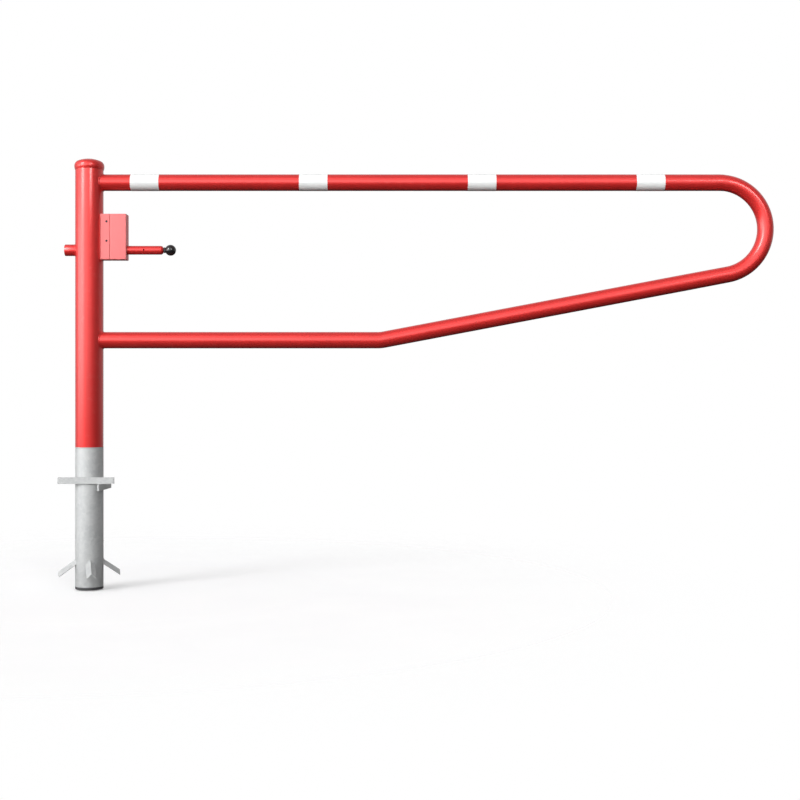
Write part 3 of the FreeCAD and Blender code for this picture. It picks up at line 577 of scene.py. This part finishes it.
def make_flanged_bush():
    """Bush in the post's foot, whose flange carries the gate on the sleeve."""
    bore, seat, length = 44.53, POST_IN - 0.05, 50
    outline = rounded([(bore, SLEEVE_TOP, 0.5), (POST_R, SLEEVE_TOP, 0.6), (POST_R, 0, 0.6), (seat, 0),
                       (seat, length, 0.8), (bore, length, 0.8)], 4)
    return turned("foot_bush", outline, segments=160)


def make_plug():
    """Plug that closes the sleeve's foot."""
    seat, top = POST_IN - 0.05, SLEEVE_FOOT + 15
    outline = rounded([(0, PLUG_FOOT), (POST_R, PLUG_FOOT, 4.0), (POST_R, SLEEVE_FOOT, 0.5),
                       (seat, SLEEVE_FOOT), (seat, top, 1.0), (0, top)], 8)
    return turned("sleeve_plug", outline, segments=160)


def make_band(index):
    """Film wrapped once round the rail, with a lapped seam at the back."""
    centre = BAND_FIRST + BAND_STEP * index
    low, high = centre - BAND_HALF, centre + BAND_HALF
    count, inner, film, ease = 160, RAIL_R + 0.05, 0.36, 0.15
    rings = []
    for k in range(count):
        turn = 2 * math.pi * k / count
        lap = 0.14 if 0.20 < turn < 0.45 else 0.0
        outer = inner + film + lap
        profile = [(inner, low), (outer - 0.12, low), (outer, low + ease), (outer, high - ease),
                   (outer - 0.12, high), (inner, high)]
        rings.append([on_axis("x", r, h, turn, (0, 0, RAIL_HIGH)) for r, h in profile])
    return loft("band_%d" % (index + 1), rings, loop=True)


# ------------------------------------------------------------------ weld seams

def seam_round(name, radius, z, side, size, seed):
    """Bead where a tube along X meets the post."""
    count = 620
    path = []
    for k in range(count):
        turn = 2 * math.pi * k / count
        y, up = radius * math.cos(turn), radius * math.sin(turn)
        point = (side * saddle_x(y, POST_R + 0.2), y, z + up)
        outward = (side * 0.8, math.cos(turn), math.sin(turn))
        path.append((point, outward))
    return bead(name, path, True, size, seed)


def seam_box():
    """Beads down both sides and across the top and foot of the bracket."""
    size, sunk = 2.3, 0.4
    beads = []
    for side in (-1, 1):
        x = saddle_x(BOX_HALF)
        path = []
        for k in range(400):
            z = BOX_LOW + 1 + (BOX_HIGH - BOX_LOW - 2) * k / 399
            path.append(((x, side * (BOX_HALF - sunk), z), (0.35, side, 0)))
        beads.append(bead("side", path, False, size, side * 2.0))
    for z, up in ((BOX_LOW + sunk, -1), (BOX_HIGH - sunk, 1)):
        path = []
        for k in range(160):
            y = -BOX_HALF + 2 + (2 * BOX_HALF - 4) * k / 159
            path.append(((saddle_x(y), y, z), (0.5, 0, up)))
        beads.append(bead("cross", path, False, size, up * 3.0))
    return join("weld_box", beads)


def seam_crossbars():
    """Short upright beads in the gaps where the flat bars touch the sleeve."""
    length, out, beads = 22, POST_R + 0.6, []
    for base, low in ((-90, -131), (0, -155)):
        foot = math.radians(base)
        for side in (-1, 1):
            angle = math.radians(base + side * 10)
            x, y = out * math.cos(angle), out * math.sin(angle)
            path = [((x, y, low + length * k / 79), (math.cos(foot), math.sin(foot), 0)) for k in range(80)]
            beads.append(bead("tack", path, False, 1.5, 1.0 + base + side * 0.5))
    return join("weld_crossbars", beads)


def seam_lugs():
    """Beads over the ridge of each angle iron where it meets the sleeve."""
    first_turn, half_width, rake, ridge = 17, 17, math.radians(35), -375.4
    beads = []
    for k in range(4):
        base = math.radians(first_turn + 90 * k)
        path = []
        for n in range(121):
            across = half_width * (n / 60 - 1)
            out = math.sqrt(POST_R ** 2 - across ** 2)
            z = ridge - abs(across) - out * math.tan(rake)
            c, s = math.cos(base), math.sin(base)
            point = (out * c - across * s, out * s + across * c, z + 0.4)
            path.append((point, (c * 0.7, s * 0.7, 0.8)))
        beads.append(bead("lug", path, False, 2.1, k * 1.3))
    return join("weld_lugs", beads)


# ------------------------------------------------------------------ materials

class Shader:
    """A small helper round one material's nodes."""

    def __init__(self, name):
        self.material = bpy.data.materials.new(name)
        self.material.use_nodes = True
        self.tree = self.material.node_tree
        self.bsdf = self.tree.nodes["Principled BSDF"]
        self.coords = self.tree.nodes.new("ShaderNodeTexCoord").outputs["Object"]

    def set(self, **values):
        for key, value in values.items():
            socket = self.bsdf.inputs[key.replace("_", " ")]
            if isinstance(value, tuple) and len(value) == 3:
                value = value + (1.0,)
            socket.default_value = value
        return self

    def feed(self, output, target):
        self.tree.links.new(output, self.bsdf.inputs[target])

    def node(self, kind, inputs=None, **fields):
        made = self.tree.nodes.new(kind)
        for key, value in fields.items():
            setattr(made, key, value)
        for key, value in (inputs or {}).items():
            if isinstance(value, bpy.types.NodeSocket):
                self.tree.links.new(value, made.inputs[key])
            else:
                made.inputs[key].default_value = value
        return made

    def noise(self, scale, detail=2.0, roughness=0.5):
        made = self.node("ShaderNodeTexNoise", {"Vector": self.coords, "Scale": scale, "Detail": detail,
                                                "Roughness": roughness})
        return made.outputs["Fac"]

    def cells(self, scale, feature="F1", output="Distance", randomness=1.0):
        made = self.node("ShaderNodeTexVoronoi", {"Vector": self.coords, "Scale": scale,
                                                  "Randomness": randomness}, feature=feature)
        return made.outputs[output]

    def spread(self, value, low, high, out_low=0.0, out_high=1.0):
        made = self.node("ShaderNodeMapRange", {"Value": value, "From Min": low, "From Max": high,
                                                "To Min": out_low, "To Max": out_high})
        return made.outputs["Result"]

    def mix(self, factor, first, second):
        made = self.node("ShaderNodeMix", {"Factor": factor}, data_type="RGBA")
        for socket, colour in ((made.inputs[6], first), (made.inputs[7], second)):
            if isinstance(colour, bpy.types.NodeSocket):
                self.tree.links.new(colour, socket)
            else:
                socket.default_value = colour + (1.0,)
        return made.outputs[2]

    def maths(self, operation, first, second=0.5):
        made = self.node("ShaderNodeMath", {0: first, 1: second}, operation=operation)
        return made.outputs[0]

    def bump(self, height, strength, distance, normal=None):
        inputs = {"Height": height, "Strength": strength, "Distance": distance}
        if normal is not None:
            inputs["Normal"] = normal
        return self.node("ShaderNodeBump", inputs).outputs["Normal"]


RED_DEEP, RED_BRIGHT = (0.73, 0.025, 0.022), (0.78, 0.028, 0.025)


def red_paint(name, peel=1.0):
    """Glossy powder coat: a deep red with a faint orange peel, fine specks and a little dust."""
    s = Shader(name)
    broad = s.spread(s.noise(6.0, 3.0), 0.35, 0.65)
    base = s.mix(broad, RED_DEEP, RED_BRIGHT)
    specks = s.spread(s.noise(2600.0, 1.0), 0.62, 0.80, 0.0, 0.25)
    base = s.mix(specks, base, (0.60, 0.014, 0.012))
    dust = s.spread(s.noise(38.0, 8.0, 0.65), 0.56, 0.80, 0.0, 0.05)
    base = s.mix(dust, base, (0.80, 0.50, 0.46))
    s.feed(base, "Base Color")
    s.feed(s.spread(s.noise(22.0, 6.0), 0.3, 0.7, 0.46, 0.52), "Roughness")
    s.set(Metallic=0.56, Specular_IOR_Level=0.5, Coat_Weight=1.0, Coat_Roughness=0.17, Coat_IOR=1.5)
    wave = s.noise(420.0, 2.0, 0.45)
    skin = s.bump(wave, 0.025 * peel, 0.0005)
    fine = s.bump(s.noise(1500.0, 1.0), 0.02 * peel, 0.0002, skin)
    s.feed(fine, "Normal")
    s.feed(skin, "Coat Normal")
    return s.material


def box_paint_painted_sheen(name):
    """The lock box's finer coat: the same red, painted paler to stand for the white sheen on its flat faces,
    and flatter.
    """
    s = Shader(name)
    broad = s.spread(s.noise(9.0, 3.0), 0.35, 0.65)
    # These pale pinks are painted sheen: the red lightened for the white reflection of the box's flat faces.
    base = s.mix(broad, (0.88, 0.195, 0.195), (0.92, 0.21, 0.21))
    specks = s.spread(s.noise(2600.0, 1.0), 0.60, 0.80, 0.0, 0.2)
    s.feed(s.mix(specks, base, (0.80, 0.16, 0.16)), "Base Color")
    s.feed(s.spread(s.noise(22.0, 6.0), 0.3, 0.7, 0.46, 0.54), "Roughness")
    s.set(Specular_IOR_Level=0.4, Coat_Weight=0.3, Coat_Roughness=0.4)
    skin = s.bump(s.noise(700.0, 2.0, 0.45), 0.10, 0.0004)
    s.feed(skin, "Normal")
    return s.material


def galvanised(name):
    """Hot-dip zinc: matte light grey, soft spangle, faint runs and a few dull patches."""
    s = Shader(name)
    spangle = s.cells(95.0, output="Color")
    grey = s.node("ShaderNodeRGBToBW", {"Color": spangle}).outputs["Val"]
    cloud = s.spread(s.noise(11.0, 6.0, 0.6), 0.35, 0.65)
    light = s.mix(s.spread(grey, 0.2, 0.8), (0.42, 0.43, 0.435), (0.49, 0.50, 0.50))
    light = s.mix(s.maths("MULTIPLY", cloud, 0.45), light, (0.53, 0.535, 0.53))
    stretched = s.node("ShaderNodeMapping", {"Vector": s.coords, "Scale": (70.0, 70.0, 5.0)})
    runs = s.node("ShaderNodeTexNoise", {"Vector": stretched.outputs[0], "Scale": 1.0, "Detail": 3.0})
    light = s.mix(s.spread(runs.outputs["Fac"], 0.55, 0.75, 0.0, 0.22), light, (0.36, 0.37, 0.38))
    s.feed(light, "Base Color")
    s.feed(s.spread(grey, 0.1, 0.9, 0.42, 0.60), "Roughness")
    s.set(Metallic=0.15, Specular_IOR_Level=0.4)
    rough = s.bump(s.noise(160.0, 4.0), 0.12, 0.0008)
    s.feed(s.bump(grey, 0.05, 0.0004, rough), "Normal")
    return s.material


def plain_metal(name, colour, roughness, scratch=0.06, metallic=1.0):
    """Turned or plated metal with fine marks and uneven sheen."""
    s = Shader(name)
    tone = s.spread(s.noise(90.0, 5.0), 0.3, 0.7)
    darker = tuple(c * 0.82 for c in colour)
    s.feed(s.mix(tone, darker, colour), "Base Color")
    s.feed(s.spread(s.noise(240.0, 3.0), 0.3, 0.7, roughness * 0.8, roughness * 1.25), "Roughness")
    s.set(Metallic=metallic)
    marks = s.node("ShaderNodeMapping", {"Vector": s.coords, "Scale": (60.0, 900.0, 900.0)})
    lines = s.node("ShaderNodeTexNoise", {"Vector": marks.outputs[0], "Scale": 1.0, "Detail": 2.0})
    s.feed(s.bump(lines.outputs["Fac"], scratch, 0.0003), "Normal")
    return s.material


def plain_plastic(name, colour, roughness, grain=0.08, gloss=0.0):
    """Moulded plastic with a fine grain and slight colour drift."""
    s = Shader(name)
    tone = s.spread(s.noise(45.0, 4.0), 0.3, 0.7)
    lighter = tuple(min(1.0, c * 1.12 + 0.004) for c in colour)
    s.feed(s.mix(tone, colour, lighter), "Base Color")
    s.feed(s.spread(s.noise(300.0, 2.0), 0.3, 0.7, roughness * 0.9, roughness * 1.15), "Roughness")
    s.set(Specular_IOR_Level=0.5, Coat_Weight=gloss, Coat_Roughness=0.06)
    s.feed(s.bump(s.noise(900.0, 2.0), grain, 0.0002), "Normal")
    return s.material


def reflective_film(name):
    """White retroreflective film: small cells under a clear skin, thin borders between them."""
    s = Shader(name)
    border = s.spread(s.cells(420.0, "DISTANCE_TO_EDGE", randomness=0.0), 0.02, 0.10)
    tone = s.spread(s.noise(30.0, 3.0), 0.3, 0.7)
    white = s.mix(tone, (0.86, 0.875, 0.865), (0.89, 0.90, 0.89))
    s.feed(s.mix(border, (0.79, 0.81, 0.81), white), "Base Color")
    s.set(Roughness=0.34, Specular_IOR_Level=0.5, Coat_Weight=0.7, Coat_Roughness=0.12)
    s.feed(s.bump(border, 0.06, 0.0002), "Normal")
    return s.material


def make_materials():
    """Every material by its slot, and the painted shade for the wall of the bolt's cross hole."""
    return {
        "red_coat": red_paint("red_powder_coat"),
        "red_plastic": red_paint("red_moulded", 0.45),
        # The box's paint is painted paler for the white sheen on its flat faces.
        "box_coat": box_paint_painted_sheen("red_box_coat_painted_sheen"),
        # Near-black red: painted shade for the inside of the bolt's cross hole.
        "hole_shade": plain_plastic("painted_hole_shade", (0.10, 0.006, 0.005), 0.9, 0.05),
        "galvanised": galvanised("hot_dip_zinc"),
        "dark_plastic": plain_plastic("dark_plug", (0.055, 0.055, 0.058), 0.55, 0.15),
        "bare_steel": plain_metal("zinc_plate", (0.62, 0.63, 0.64), 0.32),
        "bronze": plain_metal("turned_bronze", (0.62, 0.40, 0.19), 0.30),
        "nylon": plain_plastic("grey_nylon", (0.40, 0.40, 0.39), 0.48, 0.10),
        "reflective_film": reflective_film("white_film"),
        "black_steel": plain_metal("black_oxide", (0.045, 0.045, 0.05), 0.36, 0.08, 0.7),
        "plated_metal": plain_metal("nickel_plate", (0.74, 0.73, 0.70), 0.16, 0.04),
        "black_phenolic": plain_plastic("black_ball", (0.010, 0.010, 0.011), 0.16, 0.012, 0.6),
        "insert_brass": plain_metal("turned_brass", (0.75, 0.56, 0.24), 0.28),
    }


MATERIALS = make_materials()
SLOT_OF = {row["node"]: row["material_slot"] for row in frame["record"]["subparts"]}


def dress(obj, slot_name):
    """Give an object the material of a slot."""
    obj.data.materials.clear()
    obj.data.materials.append(MATERIALS[slot_name])


def shade_cross_hole_wall(bolt):
    """Paint the wall of the bolt's cross hole near-black red: painted shade that keeps the hole dark."""
    bolt.data.materials.append(MATERIALS["hole_shade"])
    for face in bolt.data.polygons:
        away = math.hypot(face.center.x - CROSS_HOLE_X * MM, face.center.z - BOLT_Z * MM)
        if away < (CROSS_HOLE_R + 0.05) * MM:
            face.material_index = 1


def fit(obj, body, slot_name, *nodes):
    """Give a new piece the material of a slot and its body, and hide the CAD nodes that it stands for."""
    dress(obj, slot_name)
    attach(obj, body)
    if nodes:
        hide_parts(*nodes)


# ------------------------------------------------------------------ the object

for node_name, node in NODES.items():
    dress(node, SLOT_OF[node_name])

fit(make_post(), "gate", "red_coat", "post_tube")
fit(make_cap(), "gate", "red_plastic", "post_cap")
fit(make_gate_rail(), "gate", "red_coat", "gate_rail")
stub_tube, stub_plate = make_stub()
fit(stub_tube, "gate", "red_coat", "bolt_end_sleeve")
fit(stub_plate, "gate", "red_coat", "stub_end_plate")
fit(make_bracket(), "gate", "box_coat", "lock_bracket")
fit(make_housing(), "gate", "box_coat", "lock_housing")
fit(make_screws(), "gate", "black_steel", "housing_screws")
fit(make_nylon_bush(), "gate", "nylon", "bolt_bush")
fit(make_flanged_bush(), "gate", "nylon", "lower_bush")
for band_index in range(4):
    fit(make_band(band_index), "gate", "reflective_film", "reflective_band_%d" % (band_index + 1))
fit(make_lock_barrel(), "gate", "plated_metal", "lock_barrel")
fit(make_lock_core(), "lock", "plated_metal", "lock_core")

bolt_bar = make_bolt()
fit(bolt_bar, "bolt", "red_coat", "locking_bolt")
# The cross hole's wall gets painted shade, so the hole looks dark.
shade_cross_hole_wall(bolt_bar)
fit(make_jam_nut(), "bolt", "black_steel", "knob_nut")
fit(make_ball(), "bolt", "black_phenolic", "ball_knob")

fit(make_sleeve(), "anchor", "galvanised", "ground_sleeve")
fit(make_plug(), "anchor", "dark_plastic", "bottom_plug")

fit(seam_round("weld_rail_top", RAIL_R, RAIL_HIGH, 1, 2.9, 0.3), "gate", "red_coat")
fit(seam_round("weld_rail_low", RAIL_R, RAIL_LOW, 1, 2.9, 1.9), "gate", "red_coat")
fit(seam_round("weld_stub", STUB_R, BOLT_Z, -1, 2.4, 3.1), "gate", "red_coat")
fit(seam_box(), "gate", "red_coat")
fit(seam_crossbars(), "anchor", "galvanised")
fit(seam_lugs(), "anchor", "galvanised")


def soften(node_name, width):
    """Round a flat-sided CAD node's edges with modifiers."""
    obj = NODES[node_name]
    weld = obj.modifiers.new("weld", "WELD")
    weld.merge_threshold = 1e-6
    edge = obj.modifiers.new("edge", "BEVEL")
    edge.width = width * MM
    edge.segments = 3
    edge.limit_method = "ANGLE"
    edge.angle_limit = math.radians(30)
    edge.harden_normals = False
    normals = obj.modifiers.new("normals", "WEIGHTED_NORMAL")
    normals.keep_sharp = False


soften("anchor_crossbars", 1.0)
soften("anchor_lugs", 0.7)
soften("lock_cam", 0.4)


# ------------------------------------------------------------------ stage, light and camera

def make_floor():
    """A pale round floor under the sleeve's foot. It fades into the white and is clear from below."""
    level = PLUG_FOOT - 3
    rim = [(600 + x, y, level) for x, y in circle(96, 5200)]
    floor = make_object("floor", rim, [tuple(range(len(rim)))], 80)
    s = Shader("pale_floor")
    tone = s.spread(s.noise(3.0, 4.0), 0.3, 0.7)
    pale = s.mix(tone, (0.79, 0.79, 0.80), (0.82, 0.82, 0.825))
    path = s.node("ShaderNodeLightPath").outputs["Is Camera Ray"]
    s.feed(s.mix(path, (0.07, 0.068, 0.068), pale), "Base Color")
    s.set(Emission_Color=(1.0, 1.0, 1.0))
    s.feed(s.maths("MULTIPLY", path, 0.27), "Emission Strength")
    s.set(Roughness=0.85, Specular_IOR_Level=0.1)
    geometry = s.node("ShaderNodeNewGeometry")
    away = s.node("ShaderNodeVectorMath", {0: geometry.outputs["Position"], 1: (0.1, 0.0, level * MM)},
                  operation="DISTANCE")
    fade = s.node("ShaderNodeMapRange", {"Value": away.outputs["Value"], "From Min": 0.35, "From Max": 2.6,
                                         "To Min": 1.0, "To Max": 0.0}, interpolation_type="SMOOTHSTEP")
    towards_eye = s.node("ShaderNodeSeparateXYZ", {0: geometry.outputs["Incoming"]})
    from_above = s.maths("GREATER_THAN", towards_eye.outputs["Z"], 0.0)
    s.feed(s.maths("MULTIPLY", fade.outputs["Result"], from_above), "Alpha")
    floor.data.materials.append(s.material)


def make_world():
    """White where the camera looks. Other rays see a dim surround, light from above and the light boxes."""
    world = bpy.data.worlds.new("studio")
    bpy.context.scene.world = world
    world.use_nodes = True
    tree = world.node_tree

    def add(kind, inputs, **fields):
        made = tree.nodes.new(kind)
        for key, value in fields.items():
            setattr(made, key, value)
        for key, value in inputs.items():
            if isinstance(value, bpy.types.NodeSocket):
                tree.links.new(value, made.inputs[key])
            else:
                made.inputs[key].default_value = value
        return made

    def maths(operation, first, second=0.0, third=0.0):
        return add("ShaderNodeMath", {0: first, 1: second, 2: third}, operation=operation).outputs[0]

    def window(value, centre, half, soft):
        """1 inside centre +- half, 0 outside, with a soft rim; in degrees."""
        off = maths("ABSOLUTE", maths("SUBTRACT", value, math.radians(centre)))
        return add("ShaderNodeMapRange", {
            "Value": off, "From Min": math.radians(half - soft), "From Max": math.radians(half + soft),
            "To Min": 1.0, "To Max": 0.0}, interpolation_type="SMOOTHSTEP").outputs["Result"]

    ray = add("ShaderNodeSeparateXYZ", {0: add("ShaderNodeTexCoord", {}).outputs["Generated"]})
    x, y, z = ray.outputs
    turn = maths("ARCTAN2", x, maths("MULTIPLY", y, -1.0))
    rise = maths("ARCSINE", z)
    surround, left_gain, right_gain, overhead, ambient = 0.50, 0.37, -0.31, 0.32, 0.03
    around = maths("MULTIPLY_ADD", window(turn, -35, 60, 6), left_gain, surround)
    around = maths("MULTIPLY_ADD", window(turn, 60, 35, 6), right_gain, around)
    light = maths("MULTIPLY", around, window(rise, 26, 34, 4))
    light = maths("MULTIPLY_ADD", window(rise, 90, 30, 4), overhead, light)
    light = maths("ADD", light, ambient)
    for centre, height, half, tall, power in LIGHT_BOXES:
        across = window(turn, centre, half, min(LIGHT_BOX_RIM, half))
        upright = window(rise, height, tall, min(LIGHT_BOX_RIM, tall))
        light = maths("MULTIPLY_ADD", maths("MULTIPLY", across, upright), power, light)
    path = add("ShaderNodeLightPath", {})
    seen = add("ShaderNodeMix", {"Factor": path.outputs["Is Camera Ray"], 2: light, 3: 1.0},
               data_type="FLOAT")
    tree.links.new(seen.outputs[0], tree.nodes["Background"].inputs["Strength"])
    tree.nodes["Background"].inputs["Color"].default_value = (1, 1, 1, 1)


make_floor()
make_world()

camera_data = bpy.data.cameras.new("camera")
camera_data.sensor_width = CAMERA_SENSOR
camera_data.lens = CAMERA_LENS
camera = bpy.data.objects.new("camera", camera_data)
camera.location = CAMERA_PLACE
camera.rotation_euler = (math.radians(90), 0, 0)
bpy.context.scene.collection.objects.link(camera)
bpy.context.scene.camera = camera
bpy.context.scene.view_settings.view_transform = "Standard"
